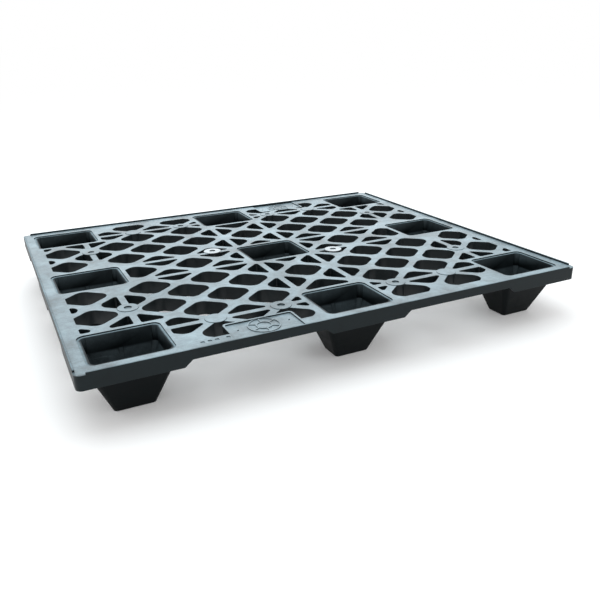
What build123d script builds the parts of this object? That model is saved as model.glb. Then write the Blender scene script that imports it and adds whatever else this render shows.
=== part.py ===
from build123d import *
import math
import os

# Nestable nine-leg pallet, one plastic moulding, modelled as the walls and panels it is made of.
# Frame: origin on the floor under the middle of the pallet, +X along its length, +Z up.
# Millimetres throughout.

# Overall size
LENGTH = 1200.0
WIDTH = 1000.0
HEIGHT = 132.0
LIP_HEIGHT = 4.5
DECK_TOP = HEIGHT - LIP_HEIGHT
CORNER_RADIUS = 13.0

# Walls
SKIN = 4.0
RIB_DEPTH = 32.0
RIB_WALL = 3.0
EDGE_WALL = 4.5

# Deck lattice: node spacing, bar widths, corner radii
PITCH_X = 74.5
PITCH_Y = 62.3
DIAGONAL_BAR = 17.5
STRAIGHT_BAR = 15.5
WIDE_CORNER = 22.0
TIGHT_CORNER = 5.0
SIDE_BORDER = 38.5
END_BORDER = 40.5
SMALLEST_OPENING = 150.0

# Straight bars of the deck run along these lines, and the deck panels meet on them
BAR_X = (PITCH_X, 6 * PITCH_X)
BAR_Y = (PITCH_Y, 6 * PITCH_Y)

# Legs: hollow cups, open at the deck so that pallets nest
LEG_X = 490.0
LEG_Y = 400.0
MOUTH_X = 150.0
MOUTH_Y = 125.0
MOUTH_RADIUS = 10.5
LEG_WALL = 3.5
FLOOR_WALL = 4.0
FOOT_X = 83.0
FOOT_Y = 58.0
FOOT_RADIUS = 8.0
FOOT_EDGE_RADIUS = 3.0
STRAIGHT_DEPTH = 36.0
TAPER_TOP = DECK_TOP - STRAIGHT_DEPTH
LEDGE_DEPTH = 3.0
LEDGE_WIDTH = 8.0
LEDGE_RADIUS = 16.0
LEDGE_TOP = DECK_TOP - LEDGE_DEPTH
LEG_MARGIN = 10.0
GROOVE_WIDTH = 8.0
GROOVE_DEPTH = 1.4

# Skirt: shallow between the legs, deep beside them, with sloped steps
SHALLOW_SKIRT = 17.0
DEEP_SKIRT = 30.5
SKIRT_STEP = 16.5
DEEP_PAST_MIDDLE_LEG = 14.0
DEEP_BEFORE_CORNER_LEG = 10.5
LIP_END_GAP = 20.0
LIP_END_RADIUS = 3.0

# Round pads on the deck
PAD_RADIUS = 23.3
PAD_RISE = 1.2
DIMPLE_RADIUS = 8.5
DIMPLE_DEPTH = 3.0
RING_PAD_X = 149.0
RING_PAD_Y = 73.0
SIDE_PAD_Y = 227.0
WEB_DROP = 5.0
WEB_START = 93.0

# Recessed plates with a plain emblem
PLATE_X = 221.0
PLATE_LENGTH = 157.0
PLATE_WIDTH = 85.5
PLATE_RIM = 4.5
PLATE_RECESS = 3.0
PLATE_RADIUS = 9.0
PLATE_WALL_DEPTH = 15.0
EMBLEM_RADIUS = 35.0
EMBLEM_STROKE = 3.4
EMBLEM_RISE = 1.5
EMBLEM_SPOKES = 6
EMBLEM_Y = 447.0
SLOT_SPACING = 113.0
SLOT_LENGTH = 8.0
SLOT_WIDTH = 3.0
SLOT_DEPTH = 1.5

# Small plain marks sunk in the front border
MARK_X = 344.5
MARK_Y = 471.5
MARK_SPACING = 14.5
MARK_SIZE = 8.0
MARK_DEPTH = 1.5
LAST_MARK_X = 307.0

ROWS = ("front", "front_field", "middle", "back_field", "back")
COLUMNS = ("left", "left_bay", "centre", "right_bay", "right")

inner_x = LENGTH / 2 - EDGE_WALL
inner_y = WIDTH / 2 - EDGE_WALL
column_edges = (-inner_x, -BAR_X[1], -BAR_X[0], BAR_X[0], BAR_X[1], inner_x)
row_edges = (-inner_y, -BAR_Y[1], -BAR_Y[0], BAR_Y[0], BAR_Y[1], inner_y)
leg_centres = [(x, y) for y in (-LEG_Y, 0, LEG_Y) for x in (-LEG_X, 0, LEG_X)]
recess_x = MOUTH_X + 2 * LEDGE_WIDTH
recess_y = MOUTH_Y + 2 * LEDGE_WIDTH
clear_x = recess_x / 2 + LEG_MARGIN
clear_y = recess_y / 2 + LEG_MARGIN
plate_y = inner_y - PLATE_WIDTH / 2

ring_pads = [(-RING_PAD_X, RING_PAD_Y), (RING_PAD_X, -RING_PAD_Y)]
dimple_pads = [(x, y) for x in (-2 * PITCH_X, 2 * PITCH_X) for y in (-BAR_Y[1], BAR_Y[1])]
dimple_pads += [(x, y) for x in (-BAR_X[1], BAR_X[1]) for y in (-SIDE_PAD_Y, SIDE_PAD_Y)]
plain_pads = [(x, y) for x in (-4 * PITCH_X, 4 * PITCH_X) for y in (-BAR_Y[1], BAR_Y[1])]
all_pads = ring_pads + dimple_pads + plain_pads

os.makedirs("parts", exist_ok=True)


def save(part, name):
    part.label = name
    export_step(part, f"parts/{name}.step")


# ---------------------------------------------------------------- outlines of the openings

def cut_polygon(points, normal, limit):
    """The part of a convex polygon on the near side of the line normal . p = limit."""
    kept = []
    for start, end in zip(points, points[1:] + points[:1]):
        before = limit - (start[0] * normal[0] + start[1] * normal[1])
        after = limit - (end[0] * normal[0] + end[1] * normal[1])
        if before >= 0:
            kept.append(start)
        if before * after < 0:
            share = before / (before - after)
            step = (end[0] - start[0], end[1] - start[1])
            kept.append((start[0] + share * step[0], start[1] + share * step[1]))
    return kept


def area(points):
    pairs = zip(points, points[1:] + points[:1])
    return abs(sum(p[0] * q[1] - q[0] * p[1] for p, q in pairs)) / 2


def diamond_size():
    """Half lengths of a lattice opening along X and Y, between its sharp corners."""
    slope = math.atan2(PITCH_Y, PITCH_X)
    across = PITCH_X * math.sin(slope) - DIAGONAL_BAR / 2
    return across / math.sin(slope), across / math.cos(slope)


def corner_radii(points, tips, grow):
    """One radius for each corner, wide at the diamond's own tips, and none too large for its sides."""
    count = len(points)
    radii = []
    reach = []
    sides = [math.dist(points[i], points[(i + 1) % count]) for i in range(count)]
    for i in range(count):
        a = points[i - 1]
        b = points[i]
        c = points[(i + 1) % count]
        into = math.atan2(b[1] - a[1], b[0] - a[0])
        out = math.atan2(c[1] - b[1], c[0] - b[0])
        turn = abs((out - into + math.pi) % (2 * math.pi) - math.pi)
        is_tip = any(math.dist(b, tip) < 0.01 for tip in tips)
        radii.append((WIDE_CORNER if is_tip else TIGHT_CORNER) + grow)
        reach.append(math.tan(turn / 2))
    for _ in range(4):
        for i in range(count):
            j = (i + 1) % count
            used = radii[i] * reach[i] + radii[j] * reach[j]
            if used > 0.96 * sides[i]:
                share = 0.96 * sides[i] / used
                radii[i] *= share
                radii[j] *= share
    return radii


def rounded_size():
    """Half lengths of a lattice opening between its rounded tips."""
    half_x, half_y = diamond_size()
    angle = math.atan2(half_y, half_x)
    return half_x - WIDE_CORNER * (1 / math.sin(angle) - 1), half_y - WIDE_CORNER * (1 / math.cos(angle) - 1)


def opening_limits(column, row):
    """Lines that cut back the opening at a lattice place, as one list for each half it is split into."""
    x = column * PITCH_X
    y = row * PITCH_Y
    half_x, half_y = diamond_size()
    round_x, round_y = rounded_size()
    limits = []
    for sign in (-1, 1):
        limits.append(((sign, 0), LENGTH / 2 - SIDE_BORDER))
        limits.append(((0, sign), WIDTH / 2 - END_BORDER))
    for leg_x, leg_y in leg_centres:
        past_x = abs(x - leg_x) - clear_x
        past_y = abs(y - leg_y) - clear_y
        near = max(past_x, 0) / half_x + max(past_y, 0) / half_y < 1
        if not near or past_x > round_x or past_y > round_y - 1:
            continue
        side_x = 1 if x > leg_x else -1
        side_y = 1 if y > leg_y else -1
        if past_y > 0 or (past_x <= 0 and past_x + half_x <= 0):
            limits.append(((0, -side_y), -(side_y * leg_y + clear_y)))
        else:
            limits.append(((-side_x, 0), -(side_x * leg_x + clear_x)))
    bar = STRAIGHT_BAR / 2
    if abs(row) in (1, 6) and column != 0:
        return [limits + [((0, side), side * y - bar)] for side in (-1, 1)]
    if abs(column) in (1, 6) and row != 0:
        return [limits + [((side, 0), side * x - bar)] for side in (-1, 1)]
    return [limits]


def outline(column, row, limits, grow):
    """Corners and radii of an opening, or of the outside of the wall round it when grow is over zero."""
    x = column * PITCH_X
    y = row * PITCH_Y
    half_x, half_y = diamond_size()
    tall = grow / math.cos(math.atan2(half_y, half_x))
    wide = tall * half_x / half_y
    tips = [
        (x + half_x + wide, y),
        (x, y + half_y + tall),
        (x - half_x - wide, y),
        (x, y - half_y - tall),
    ]
    points = tips
    for normal, limit in limits:
        points = cut_polygon(points, normal, limit + grow)
        if len(points) < 3:
            return [], []
    corners = []
    for point in points:
        if not corners or math.dist(point, corners[-1]) > 0.5:
            corners.append(point)
    if math.dist(corners[0], corners[-1]) < 0.5:
        corners.pop()
    return corners, corner_radii(corners, tips, grow)


def all_openings():
    """Every opening of the deck: its lattice place and the lines that cut it back."""
    found = []
    for row in range(-7, 8):
        for column in range(-8, 9):
            if (row + column) % 2 == 0 or (abs(row) == 1 and abs(column) > 5):
                continue
            for limits in opening_limits(column, row):
                points, _ = outline(column, row, limits, 0)
                if len(points) >= 3 and area(points) > SMALLEST_OPENING:
                    found.append((column, row, limits))
    return found


openings = all_openings()


def openings_between(x_low, x_high, y_low, y_high):
    inside = []
    for column, row, limits in openings:
        points, _ = outline(column, row, limits, 0)
        x = sum(p[0] for p in points) / len(points)
        y = sum(p[1] for p in points) / len(points)
        if x_low < x < x_high and y_low < y < y_high:
            inside.append((column, row, limits))
    return inside


# ---------------------------------------------------------------- deck panels

def make_panel(name, x_low, x_high, y_low, y_high):
    """A panel of deck skin, with a wall hanging round each opening."""
    centre = ((x_low + x_high) / 2, (y_low + y_high) / 2)
    size = (x_high - x_low, y_high - y_low)
    places = openings_between(x_low, x_high, y_low, y_high)
    walls = [outline(*place, RIB_WALL) for place in places]
    holes = [outline(*place, 0) for place in places]
    webs = []
    for column, row, limits in places:
        if (column, abs(row)) in ((-2, 1), (2, 1)) and column * row < 0:
            side = 1 if row > 0 else -1
            web = outline(column, row, limits + [((0, -side), -WEB_START)], 1)
            if len(web[0]) >= 3:
                webs.append(web)
    with BuildPart() as panel:
        with BuildSketch(Plane.XY.offset(DECK_TOP - SKIN)):
            with Locations(centre):
                Rectangle(*size)
        extrude(amount=SKIN)
        for points, radii in walls:
            with BuildSketch(Plane.XY.offset(DECK_TOP - RIB_DEPTH)):
                with BuildLine():
                    FilletPolyline(*points, radius=radii, close=True)
                make_face()
            extrude(amount=RIB_DEPTH - SKIN / 2)
        for points, radii in holes:
            with BuildSketch(Plane.XY.offset(DECK_TOP - RIB_DEPTH)):
                with BuildLine():
                    FilletPolyline(*points, radius=radii, close=True)
                make_face()
            extrude(amount=RIB_DEPTH, mode=Mode.SUBTRACT)
        for points, radii in webs:
            with BuildSketch(Plane.XY.offset(DECK_TOP - WEB_DROP - SKIN)):
                with BuildLine():
                    FilletPolyline(*points, radius=radii, close=True)
                make_face()
            extrude(amount=SKIN)
        with BuildSketch(Plane.XY.offset(DECK_TOP - RIB_DEPTH)):
            for leg_x, leg_y in leg_centres:
                with Locations((leg_x, leg_y)):
                    RectangleRounded(recess_x, recess_y, LEDGE_RADIUS)
            for pad in all_pads:
                with Locations(pad):
                    Circle(PAD_RADIUS)
            for side in (-1, 1):
                with Locations((side * PLATE_X, side * (plate_y + PLATE_RADIUS))):
                    RectangleRounded(PLATE_LENGTH, PLATE_WIDTH + 2 * PLATE_RADIUS, PLATE_RADIUS)
        extrude(amount=RIB_DEPTH, mode=Mode.SUBTRACT)
        if name == "deck_front_left_bay":
            with BuildSketch(Plane.XY.offset(DECK_TOP)):
                with Locations((-MARK_X, -MARK_Y)):
                    with GridLocations(MARK_SPACING, 1, 3, 1):
                        RectangleRounded(MARK_SIZE, MARK_SIZE, MARK_SIZE / 4)
                with Locations((-LAST_MARK_X, -MARK_Y)):
                    RectangleRounded(MARK_SIZE, MARK_SIZE, MARK_SIZE / 4)
            extrude(amount=-MARK_DEPTH, mode=Mode.SUBTRACT)
    save(panel.part, name)


def make_deck():
    for row, (y_low, y_high) in enumerate(zip(row_edges, row_edges[1:])):
        for column, (x_low, x_high) in enumerate(zip(column_edges, column_edges[1:])):
            if ROWS[row] == "middle" and COLUMNS[column] == "centre":
                continue
            name = f"deck_{ROWS[row]}_{COLUMNS[column]}"
            make_panel(name, x_low, x_high, y_low, y_high)


# ---------------------------------------------------------------- legs

def make_leg(name, x, y):
    """A hollow tapered leg with a ledge round its mouth and a shallow groove down its front and back walls."""
    top = Plane(origin=(x, y, LEDGE_TOP))
    waist = Plane(origin=(x, y, TAPER_TOP))
    ground = Plane(origin=(x, y, 0))
    floor = Plane(origin=(x, y, FLOOR_WALL))
    outer_x = MOUTH_X + 2 * LEG_WALL
    outer_y = MOUTH_Y + 2 * LEG_WALL
    outer_radius = MOUTH_RADIUS + LEG_WALL
    slope_y = (outer_y - FOOT_Y) / 2 / TAPER_TOP
    floor_x = outer_x - (outer_x - FOOT_X) * (1 - FLOOR_WALL / TAPER_TOP) - 2 * LEG_WALL
    floor_y = outer_y - (outer_y - FOOT_Y) * (1 - FLOOR_WALL / TAPER_TOP) - 2 * LEG_WALL
    with BuildPart() as leg:
        with BuildSketch(ground):
            RectangleRounded(FOOT_X, FOOT_Y, FOOT_RADIUS)
        with BuildSketch(waist):
            RectangleRounded(outer_x, outer_y, outer_radius)
        loft()
        bottom = leg.faces().sort_by(Axis.Z)[0]
        fillet(bottom.edges(), FOOT_EDGE_RADIUS)
        with BuildSketch(waist):
            RectangleRounded(outer_x, outer_y, outer_radius)
        extrude(amount=LEDGE_TOP - TAPER_TOP)
        with BuildSketch(top.offset(-LEG_WALL)):
            RectangleRounded(recess_x, recess_y, LEDGE_RADIUS)
        extrude(amount=LEG_WALL)
        with BuildSketch(floor):
            RectangleRounded(floor_x, floor_y, FOOT_RADIUS - LEG_WALL)
        with BuildSketch(waist):
            RectangleRounded(MOUTH_X, MOUTH_Y, MOUTH_RADIUS)
        loft(mode=Mode.SUBTRACT)
        with BuildSketch(waist):
            RectangleRounded(MOUTH_X, MOUTH_Y, MOUTH_RADIUS)
        extrude(amount=LEDGE_TOP - TAPER_TOP, mode=Mode.SUBTRACT)
        for side in (-1, 1):
            with BuildSketch(Plane.YZ.offset(x)):
                with BuildLine():
                    Polyline(
                        (y + side * MOUTH_Y / 2, TAPER_TOP),
                        (y + side * MOUTH_Y / 2, TAPER_TOP - GROOVE_DEPTH / slope_y),
                        (y + side * (floor_y / 2 + GROOVE_DEPTH + 2 * slope_y), FLOOR_WALL + 2),
                        (y + side * (floor_y / 2 - 1), FLOOR_WALL + 2),
                        (y + side * (MOUTH_Y / 2 - 1), TAPER_TOP),
                        close=True,
                    )
                make_face()
            extrude(amount=GROOVE_WIDTH / 2, both=True, mode=Mode.SUBTRACT)
    save(leg.part, name)


def make_legs():
    for row, y in (("front", -LEG_Y), ("middle", 0), ("back", LEG_Y)):
        for column, x in (("left", -LEG_X), ("centre", 0), ("right", LEG_X)):
            make_leg(f"leg_{row}_{column}", x, y)


# ---------------------------------------------------------------- skirts and lips

def skirt_steps(leg_offset, middle_half, corner_half):
    """Where the skirt is shallow on one side of the middle leg: step ends and starts, outwards."""
    start = middle_half + DEEP_PAST_MIDDLE_LEG
    end = leg_offset - corner_half - DEEP_BEFORE_CORNER_LEG
    return start, start + SKIRT_STEP, end - SKIRT_STEP, end


def make_skirt(name, centre, size):
    """One side of the skirt: the share of the edge wall that stands inside a box."""
    low = DECK_TOP - DEEP_SKIRT
    shallow = DECK_TOP - SHALLOW_SKIRT
    front_steps = skirt_steps(LEG_X, MOUTH_X / 2, MOUTH_X / 2)
    side_steps = skirt_steps(LEG_Y, MOUTH_Y / 2, MOUTH_Y / 2)
    with BuildPart() as skirt:
        with BuildSketch(Plane.XY.offset(low)):
            RectangleRounded(LENGTH, WIDTH, CORNER_RADIUS)
            Rectangle(2 * inner_x, 2 * inner_y, mode=Mode.SUBTRACT)
        extrude(amount=DEEP_SKIRT)
        for plane, steps, run in ((Plane.XZ, front_steps, WIDTH), (Plane.YZ, side_steps, LENGTH)):
            with BuildSketch(plane):
                for side in (-1, 1):
                    with BuildLine():
                        Polyline(
                            (side * steps[0], low),
                            (side * steps[1], shallow),
                            (side * steps[2], shallow),
                            (side * steps[3], low),
                            close=True,
                        )
                    make_face()
            extrude(amount=run, both=True, mode=Mode.SUBTRACT)
        with BuildSketch(Plane.XY.offset(low)):
            with Locations(centre):
                Rectangle(*size)
        extrude(amount=DEEP_SKIRT, mode=Mode.INTERSECT)
    save(skirt.part, name)


def make_lip(name, centre, size):
    """One side of the low lip that stands round the deck's edge and stops short of the corners."""
    with BuildPart() as lip:
        with BuildSketch(Plane.XY.offset(DECK_TOP)):
            with Locations(centre):
                Rectangle(*size)
        extrude(amount=LIP_HEIGHT)
        across = Axis.Y if size[0] > size[1] else Axis.X
        ends = lip.faces().sort_by(Axis.Z)[-1].edges().filter_by(across)
        fillet(ends, LIP_END_RADIUS)
    save(lip.part, name)


def make_edges():
    reach_x = LENGTH / 2 - CORNER_RADIUS
    reach_y = WIDTH / 2 - CORNER_RADIUS
    wall_x = LENGTH / 2 - EDGE_WALL / 2
    wall_y = WIDTH / 2 - EDGE_WALL / 2
    for name, side in (("front", -1), ("back", 1)):
        make_skirt(f"skirt_{name}", (0, side * (reach_y + CORNER_RADIUS / 2)), (LENGTH, CORNER_RADIUS))
        make_lip(f"lip_{name}", (0, side * wall_y), (LENGTH - 2 * LIP_END_GAP, EDGE_WALL))
    for name, side in (("left", -1), ("right", 1)):
        make_skirt(f"skirt_{name}", (side * (reach_x + CORNER_RADIUS / 2), 0), (CORNER_RADIUS, 2 * reach_y))
        make_lip(f"lip_{name}", (side * wall_x, 0), (EDGE_WALL, WIDTH - 2 * LIP_END_GAP))


# ---------------------------------------------------------------- plates and pads

def make_plate(name, side):
    """A recessed plate with a rim on three sides, a plain spoked ring, and two short slots."""
    x = side * PLATE_X
    y = side * plate_y
    floor = DECK_TOP - PLATE_RECESS
    with BuildPart() as plate:
        with BuildSketch(Plane.XY.offset(DECK_TOP - PLATE_WALL_DEPTH)):
            with Locations((x, y + side * PLATE_RADIUS)):
                RectangleRounded(PLATE_LENGTH, PLATE_WIDTH + 2 * PLATE_RADIUS, PLATE_RADIUS)
            with Locations((x, y)):
                Rectangle(PLATE_LENGTH, PLATE_WIDTH, mode=Mode.INTERSECT)
        extrude(amount=PLATE_WALL_DEPTH)
        for height, depth, wall in ((floor - SKIN, RIB_DEPTH, RIB_WALL), (floor + RIB_DEPTH, RIB_DEPTH, PLATE_RIM)):
            with BuildSketch(Plane.XY.offset(height)):
                with Locations((x, y + side * (PLATE_RADIUS + wall))):
                    RectangleRounded(
                        PLATE_LENGTH - 2 * wall,
                        PLATE_WIDTH + 2 * PLATE_RADIUS,
                        PLATE_RADIUS - RIB_WALL,
                    )
            extrude(amount=-depth, mode=Mode.SUBTRACT)
        with BuildSketch(Plane.XY.offset(floor)):
            with Locations((x, side * EMBLEM_Y)):
                Circle(EMBLEM_RADIUS)
                Circle(EMBLEM_RADIUS - EMBLEM_STROKE, mode=Mode.SUBTRACT)
                Circle(EMBLEM_RADIUS / 2)
                Circle(EMBLEM_RADIUS / 2 - EMBLEM_STROKE, mode=Mode.SUBTRACT)
                with PolarLocations(EMBLEM_RADIUS * 0.73, EMBLEM_SPOKES, start_angle=30):
                    Rectangle(EMBLEM_RADIUS * 0.5, EMBLEM_STROKE)
        extrude(amount=EMBLEM_RISE)
        with BuildSketch(Plane.XY.offset(floor)):
            with Locations((x, side * EMBLEM_Y)):
                with GridLocations(SLOT_SPACING, 1, 2, 1):
                    SlotOverall(SLOT_LENGTH, SLOT_WIDTH, rotation=60)
        extrude(amount=-SLOT_DEPTH, mode=Mode.SUBTRACT)
    save(plate.part, name)


def make_pads(name, places, dimpled):
    """Round pads on the lattice, each with a wall hanging under its rim."""
    with BuildPart() as pads:
        with BuildSketch(Plane.XY.offset(DECK_TOP - SKIN)):
            with Locations(*places):
                Circle(PAD_RADIUS)
        extrude(amount=SKIN + PAD_RISE)
        top_edges = pads.faces().filter_by(Axis.Z).group_by(Axis.Z)[-1].edges()
        fillet(top_edges, PAD_RISE)
        with BuildSketch(Plane.XY.offset(DECK_TOP - RIB_DEPTH)):
            with Locations(*places):
                Circle(PAD_RADIUS)
                Circle(PAD_RADIUS - RIB_WALL, mode=Mode.SUBTRACT)
        extrude(amount=RIB_DEPTH - SKIN / 2)
        if dimpled:
            with BuildSketch(Plane.XY.offset(DECK_TOP + PAD_RISE)):
                with Locations(*places):
                    Circle(DIMPLE_RADIUS)
            extrude(amount=-DIMPLE_DEPTH, mode=Mode.SUBTRACT)
    save(pads.part, name)


make_deck()
make_legs()
make_edges()
make_plate("label_plate_front", -1)
make_plate("label_plate_back", 1)
make_pads("ring_pads", ring_pads, True)
make_pads("dimple_pads", dimple_pads, True)
make_pads("plain_pads", plain_pads, False)
print(len(openings), "openings in the deck")
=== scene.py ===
import math

import bmesh
import bpy
from mathutils import Matrix, Vector


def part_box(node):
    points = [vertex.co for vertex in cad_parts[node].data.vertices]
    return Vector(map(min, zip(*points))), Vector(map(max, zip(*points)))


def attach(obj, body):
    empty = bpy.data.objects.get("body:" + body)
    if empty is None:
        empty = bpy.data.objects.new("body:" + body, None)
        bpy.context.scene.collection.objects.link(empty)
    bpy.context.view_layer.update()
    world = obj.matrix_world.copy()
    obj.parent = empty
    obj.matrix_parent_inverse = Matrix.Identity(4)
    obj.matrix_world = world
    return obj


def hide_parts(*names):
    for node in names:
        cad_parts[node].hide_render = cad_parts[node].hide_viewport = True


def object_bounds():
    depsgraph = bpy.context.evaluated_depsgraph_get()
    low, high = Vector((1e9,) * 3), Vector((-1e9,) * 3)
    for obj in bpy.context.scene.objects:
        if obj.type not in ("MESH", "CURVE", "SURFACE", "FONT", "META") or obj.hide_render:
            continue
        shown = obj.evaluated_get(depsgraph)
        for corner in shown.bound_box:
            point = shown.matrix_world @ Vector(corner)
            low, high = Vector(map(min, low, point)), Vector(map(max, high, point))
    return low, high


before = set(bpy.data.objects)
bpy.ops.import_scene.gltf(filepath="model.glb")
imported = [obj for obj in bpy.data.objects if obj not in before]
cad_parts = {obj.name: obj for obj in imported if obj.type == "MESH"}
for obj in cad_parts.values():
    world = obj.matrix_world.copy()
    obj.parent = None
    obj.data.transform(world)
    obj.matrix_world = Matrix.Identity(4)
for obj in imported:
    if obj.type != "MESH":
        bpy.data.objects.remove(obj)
cad_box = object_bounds()

FLOOR_Z = cad_box[0].z
DECK_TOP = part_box("skirt_front")[1].z

# Edge rounding, in metres
ROUNDING = 0.0009
SMALL_ROUNDING = 0.0004

# Mesh work: which edges count as sharp, which faces as one, and how close points are the same
ROUNDED_ANGLE = math.radians(32)
SHADED_SHARP_ANGLE = math.radians(38)
FLAT_ANGLE = math.radians(0.6)
SAME_PLACE = 2e-5
SHORTEST_EDGE = 1e-5

# The photograph's viewpoint, in metres and degrees; focal length and frame width in pixels
CAMERA_PLACE = (-0.6789, -1.5436, 0.6529)
CAMERA_HEADING, CAMERA_PITCH, CAMERA_ROLL = 26.22, 21.82, -0.96
FOCAL_PIXELS, FRAME_PIXELS = 639.5, 600.0
SENSOR_WIDTH = 36.0

# Colours: the grey on top faces, partly bloom and partly painted sheen; the painted highlight on rounded
# rims; and the two pale pads
BLOOM_AND_SHEEN = (0.28, 0.38, 0.43)
RIM_HIGHLIGHT = (0.45, 0.53, 0.56)
RING = (0.44, 0.49, 0.52)
WHITE = (1.0, 1.0, 1.0)


# ---------------------------------------------------------------- materials

class Graph:
    """A new material and short ways to add nodes to it. Each way returns the socket it makes."""

    def __init__(self, name):
        self.mat = bpy.data.materials.new(name)
        self.mat.use_nodes = True
        self.nodes = self.mat.node_tree.nodes
        self.links = self.mat.node_tree.links
        self.shader = self.nodes["Principled BSDF"]

    def axes(self, vector):
        parts = self.nodes.new("ShaderNodeSeparateXYZ")
        self.links.new(vector, parts.inputs[0])
        return parts.outputs

    def noise(self, vector, scale, detail=4.0, rough=0.55, distort=0.0):
        node = self.nodes.new("ShaderNodeTexNoise")
        node.inputs["Scale"].default_value = scale
        node.inputs["Detail"].default_value = detail
        node.inputs["Roughness"].default_value = rough
        node.inputs["Distortion"].default_value = distort
        self.links.new(vector, node.inputs["Vector"])
        return node.outputs["Fac"]

    def remap(self, value, low, high, to_low=0.0, to_high=1.0):
        node = self.nodes.new("ShaderNodeMapRange")
        node.clamp = True
        node.inputs["From Min"].default_value = low
        node.inputs["From Max"].default_value = high
        node.inputs["To Min"].default_value = to_low
        node.inputs["To Max"].default_value = to_high
        self.links.new(value, node.inputs["Value"])
        return node.outputs["Result"]

    def maths(self, operation, a, b):
        node = self.nodes.new("ShaderNodeMath")
        node.operation = operation
        for socket, value in zip(node.inputs, (a, b)):
            if isinstance(value, (int, float)):
                socket.default_value = value
            else:
                self.links.new(value, socket)
        return node.outputs[0]

    def times(self, a, b):
        return self.maths("MULTIPLY", a, b)

    def plus(self, a, b):
        return self.maths("ADD", a, b)

    def largest(self, a, b):
        return self.maths("MAXIMUM", a, b)

    def mix(self, factor, a, b):
        node = self.nodes.new("ShaderNodeMix")
        node.data_type = "RGBA"
        self.links.new(factor, node.inputs["Factor"])
        for key, value in (("A", a), ("B", b)):
            socket = next(s for s in node.inputs if s.name == key and s.type == "RGBA")
            if isinstance(value, tuple):
                socket.default_value = (*value, 1)
            else:
                self.links.new(value, socket)
        return next(s for s in node.outputs if s.type == "RGBA")

    def stretched(self, vector, angle, squeeze):
        """Coordinates turned about Z and squeezed along the new Y, for rub marks that run one way."""
        node = self.nodes.new("ShaderNodeMapping")
        node.inputs["Rotation"].default_value = (0, 0, angle)
        node.inputs["Scale"].default_value = (1.0, squeeze, 1.0)
        self.links.new(vector, node.inputs["Vector"])
        return node.outputs["Vector"]

    def bump(self, height, strength, distance, under=None):
        node = self.nodes.new("ShaderNodeBump")
        node.inputs["Strength"].default_value = strength
        node.inputs["Distance"].default_value = distance
        self.links.new(height, node.inputs["Height"])
        if under is not None:
            self.links.new(under, node.inputs["Normal"])
        return node.outputs["Normal"]


def plastic(name, base, bloom_and_sheen, bloom_and_sheen_amount, rough, least, specular=0.5, lean_light=0.0):
    """Black moulded plastic: a fine moulded grain, with grey and rub marks on what faces up; the grey is
    partly blooming of the plastic and partly painted sheen.

    least is how much of that grey shows where there are no marks. The last argument is painted light on
    walls that lean back a little: they face more of the sky, so they are painted lighter.
    """
    g = Graph(name)
    coords = g.nodes.new("ShaderNodeTexCoord").outputs["Object"]
    facing = g.axes(g.nodes.new("ShaderNodeNewGeometry").outputs["Normal"])["Z"]
    height = g.axes(coords)["Z"]

    # Up-facing faces get the grey, partly bloom and partly painted sheen of the light.
    upward = g.remap(facing, 0.55, 0.95)
    # The grey is weaker on up-facing faces below the deck top: painted shade in the recesses.
    recess_shade = g.remap(height, DECK_TOP - 0.008, DECK_TOP - 0.0035, 0.35, 1.0)
    # Walls that lean back a little get the grey as painted light from the sky they face.
    lean_light_mask = g.remap(facing, 0.05, 0.30, 0.0, lean_light)
    faces = g.largest(g.times(g.times(upward, recess_shade), bloom_and_sheen_amount), lean_light_mask)

    blotches = g.remap(g.noise(coords, 9.0, 5.0, 0.6, 0.4), 0.34, 0.68)
    smudges = g.remap(g.noise(coords, 34.0, 5.0, 0.65, 0.6), 0.36, 0.66)
    specks = g.remap(g.noise(coords, 420.0, 3.0, 0.6), 0.40, 0.75)
    rubs_along = g.remap(g.noise(g.stretched(coords, 0.35, 22.0), 14.0, 4.0, 0.6), 0.60, 0.72)
    rubs_across = g.remap(g.noise(g.stretched(coords, -1.25, 26.0), 11.0, 4.0, 0.6), 0.62, 0.74)
    rubs = g.largest(rubs_along, rubs_across)

    mottle = g.times(blotches, 0.46)
    for marks, share in ((smudges, 0.30), (specks, 0.14), (rubs, 0.34)):
        mottle = g.plus(mottle, g.times(marks, share))
    mottle = g.plus(mottle, least)

    colour = g.mix(smudges, base, tuple(1.35 * c for c in base))
    # Lay the mottled grey, bloom and painted sheen, over the base where the mask above allows.
    colour = g.mix(g.times(faces, mottle), colour, bloom_and_sheen)
    g.links.new(colour, g.shader.inputs["Base Color"])

    gloss = g.plus(g.times(smudges, 0.10), g.times(rubs, 0.08))
    g.links.new(g.plus(gloss, rough), g.shader.inputs["Roughness"])
    g.shader.inputs["Specular IOR Level"].default_value = specular
    g.shader.inputs["IOR"].default_value = 1.5

    grain = g.bump(g.noise(coords, 900.0, 2.0, 0.6), 0.10, 0.0002)
    waves = g.bump(g.noise(coords, 38.0, 3.0, 0.5), 0.35, 0.0006, under=grain)
    g.links.new(waves, g.shader.inputs["Normal"])
    return g.mat


# In every plastic below, the grey on up-facing faces is partly bloom and partly painted sheen.
deck_mat = plastic("deck_plastic", (0.005, 0.0085, 0.010), BLOOM_AND_SHEEN, 1.0, 0.38, 0.22, specular=0.38)
# Rim materials: paler base and grey, a painted highlight on the rounded deck edges.
deck_rim_highlight_mat = plastic("deck_rim_highlight", (0.014, 0.020, 0.023), RIM_HIGHLIGHT, 0.90, 0.38, 0.45)
edge_mat = plastic("edge_plastic", (0.0055, 0.0095, 0.011), BLOOM_AND_SHEEN, 0.80, 0.42, 0.22, specular=0.16)
# Painted highlight on the rounded skirt and lip edges.
edge_rim_highlight_mat = plastic("edge_rim_highlight", (0.016, 0.023, 0.026), RIM_HIGHLIGHT, 0.90, 0.40, 0.45, specular=0.30)
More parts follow.
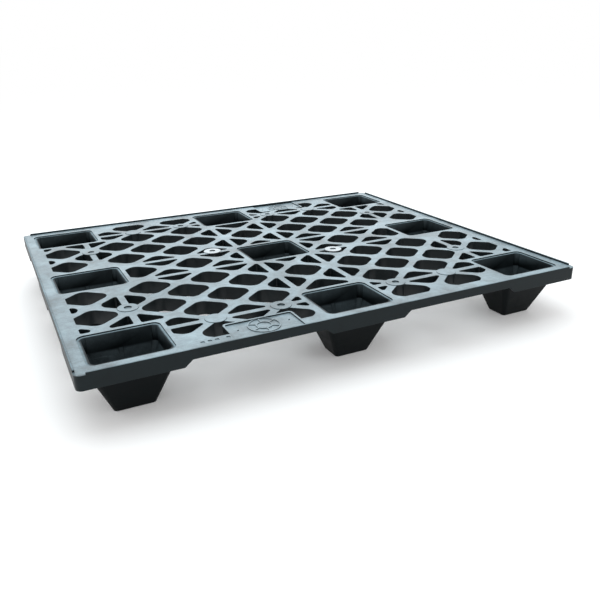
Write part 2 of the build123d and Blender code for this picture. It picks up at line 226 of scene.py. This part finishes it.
# Legs: a darker copy of the plastic as painted shade; their up-tilted inner walls get painted light.
shaded_leg_mat = plastic("leg_plastic", (0.0018, 0.0032, 0.0038), BLOOM_AND_SHEEN, 1.0, 0.46, 0.22, specular=0.08, lean_light=0.15)
pad_mat = plastic("pad_plastic", (0.014, 0.016, 0.018), RING, 1.0, 0.34, 0.65)
# Dark, with little grey: painted shade along the plate rims and emblem edges.
emblem_shade_mat = plastic("emblem_edge_shade", (0.005, 0.007, 0.008), BLOOM_AND_SHEEN, 0.20, 0.42, 0.30)


# ---------------------------------------------------------------- pieces

def seams_of(name):
    """Planes (axis, place) where this node meets the next one flush, so its edges there stay sharp."""
    low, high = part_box(name)
    if name.startswith("deck_"):
        return [(0, low.x), (0, high.x), (1, low.y), (1, high.y)]
    if name.startswith("lip_"):
        return [(2, low.z)]
    if name.startswith("label_plate"):
        return [(1, low.y if low.y < 0 else high.y)]
    if not name.startswith("skirt_"):
        return []
    deck_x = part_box("deck_front_right")[1].x
    deck_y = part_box("deck_back_left")[1].y
    side_y = high.y if name in ("skirt_left", "skirt_right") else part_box("skirt_left")[1].y
    seams = [(2, high.z)]
    for axis, at in ((0, deck_x), (1, deck_y), (1, side_y)):
        seams += [(axis, -at), (axis, at)]
    return seams


def rounded_copy(name, rounding):
    """The node's own shape as a clean mesh with its sharp edges rounded; the rounding has material 1."""
    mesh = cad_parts[name].data.copy()
    mesh.name = name + "_skin"
    piece = bpy.data.objects.new(name + "_skin", mesh)
    bpy.context.scene.collection.objects.link(piece)
    bm = bmesh.new()
    bm.from_mesh(mesh)
    bmesh.ops.remove_doubles(bm, verts=bm.verts, dist=SAME_PLACE)
    if rounding > 0:
        bmesh.ops.dissolve_limit(bm, angle_limit=FLAT_ANGLE, verts=bm.verts, edges=bm.edges)
        seams = seams_of(name)
        chosen = []
        for edge in bm.edges:
            if len(edge.link_faces) != 2 or edge.calc_length() < SHORTEST_EDGE:
                continue
            if edge.calc_face_angle(0.0) < ROUNDED_ANGLE:
                continue
            ends = [v.co for v in edge.verts]
            if any(all(abs(co[axis] - at) < SAME_PLACE for co in ends) for axis, at in seams):
                continue
            chosen.append(edge)
        bmesh.ops.bevel(
            bm, geom=chosen, offset=rounding, offset_type="OFFSET", segments=2, profile=0.5,
            affect="EDGES", clamp_overlap=True, loop_slide=True, miter_outer="SHARP", miter_inner="SHARP",
            material=1,
        )
    for face in bm.faces:
        face.smooth = True
    bm.to_mesh(mesh)
    bm.free()
    mesh.materials.clear()
    mesh.set_sharp_from_angle(angle=SHADED_SHARP_ANGLE)
    weighted = piece.modifiers.new("flat_faces", "WEIGHTED_NORMAL")
    weighted.keep_sharp = True
    weighted.weight = 80
    return piece


def dress(name, mat, rim_mat, rounding):
    piece = rounded_copy(name, rounding)
    piece.data.materials.append(mat)
    if rounding > 0:
        piece.data.materials.append(rim_mat)
    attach(piece, "root")
    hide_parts(name)
    return piece


for name in sorted(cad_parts):
    if name.startswith("leg_"):
        # Legs take the darker painted shade copy of the plastic.
        dress(name, shaded_leg_mat, shaded_leg_mat, 0.0)
    elif name.startswith(("skirt_", "lip_")):
        dress(name, edge_mat, edge_rim_highlight_mat, ROUNDING)
    elif name == "ring_pads":
        dress(name, pad_mat, pad_mat, SMALL_ROUNDING)
    elif name.endswith("_pads"):
        dress(name, deck_mat, deck_rim_highlight_mat, SMALL_ROUNDING)
    elif name.startswith("label_plate"):
        # The plate's rounded rims take the dark painted shade material.
        dress(name, deck_mat, emblem_shade_mat, SMALL_ROUNDING)
    else:
        dress(name, deck_mat, deck_rim_highlight_mat, ROUNDING)


# ---------------------------------------------------------------- floor, lights and camera

def floor():
    """A wide pale floor that glows a little, so that it meets the white background unseen."""
    reach = 150.0
    mesh = bpy.data.meshes.new("floor")
    mesh.from_pydata(
        [(-reach, -reach, 0), (reach, -reach, 0), (reach, reach, 0), (-reach, reach, 0)], [], [(0, 1, 2, 3)]
    )
    plane = bpy.data.objects.new("floor", mesh)
    plane.location.z = FLOOR_Z - 0.0005
    bpy.context.scene.collection.objects.link(plane)
    g = Graph("floor")
    g.shader.inputs["Base Color"].default_value = (0.85, 0.85, 0.85, 1)
    g.shader.inputs["Roughness"].default_value = 0.9
    g.shader.inputs["Specular IOR Level"].default_value = 0.0
    g.shader.inputs["Emission Color"].default_value = (*WHITE, 1)
    g.shader.inputs["Emission Strength"].default_value = 0.15
    mesh.materials.append(g.mat)


def background():
    world = bpy.data.worlds.new("world")
    world.use_nodes = True
    shader = world.node_tree.nodes["Background"]
    shader.inputs["Color"].default_value = (*WHITE, 1)
    shader.inputs["Strength"].default_value = 1.0
    bpy.context.scene.world = world
    bpy.context.scene.view_settings.view_transform = "Standard"


def light(name, place, target, size, power, tint):
    lamp = bpy.data.lights.new(name, "AREA")
    lamp.shape = "RECTANGLE"
    lamp.size, lamp.size_y = size
    lamp.energy = power
    lamp.color = tint
    ob = bpy.data.objects.new(name, lamp)
    ob.location = Vector(place)
    ob.rotation_mode = "QUATERNION"
    ob.rotation_quaternion = (Vector(target) - ob.location).to_track_quat("-Z", "Y")
    bpy.context.scene.collection.objects.link(ob)


def camera():
    """The photograph's viewpoint."""
    data = bpy.data.cameras.new("camera")
    ob = bpy.data.objects.new("camera", data)
    bpy.context.scene.collection.objects.link(ob)
    data.sensor_width = SENSOR_WIDTH
    data.lens = SENSOR_WIDTH * FOCAL_PIXELS / FRAME_PIXELS
    heading, pitch, roll = (math.radians(a) for a in (CAMERA_HEADING, CAMERA_PITCH, CAMERA_ROLL))
    level = math.cos(pitch)
    forward = Vector((math.sin(heading) * level, math.cos(heading) * level, -math.sin(pitch)))
    right = forward.cross(Vector((0, 0, 1))).normalized()
    up = right.cross(forward)
    turned_right = right * math.cos(roll) + up * math.sin(roll)
    turned_up = turned_right.cross(forward)
    basis = Matrix((turned_right, turned_up, -forward)).transposed()
    ob.matrix_world = Matrix.Translation(Vector(CAMERA_PLACE)) @ basis.to_4x4()
    data.clip_start = 0.05
    data.clip_end = 400
    bpy.context.scene.camera = ob


floor()
background()
light("back_panel", (1.2, 3.0, 1.6), (0, 0, 0.1), (4.0, 2.0), 40, (0.93, 0.97, 1.0))
light("top_panel", (-0.3, 0.2, 2.6), (0, 0, 0.1), (2.5, 2.5), 30, (0.86, 0.96, 1.0))
camera()
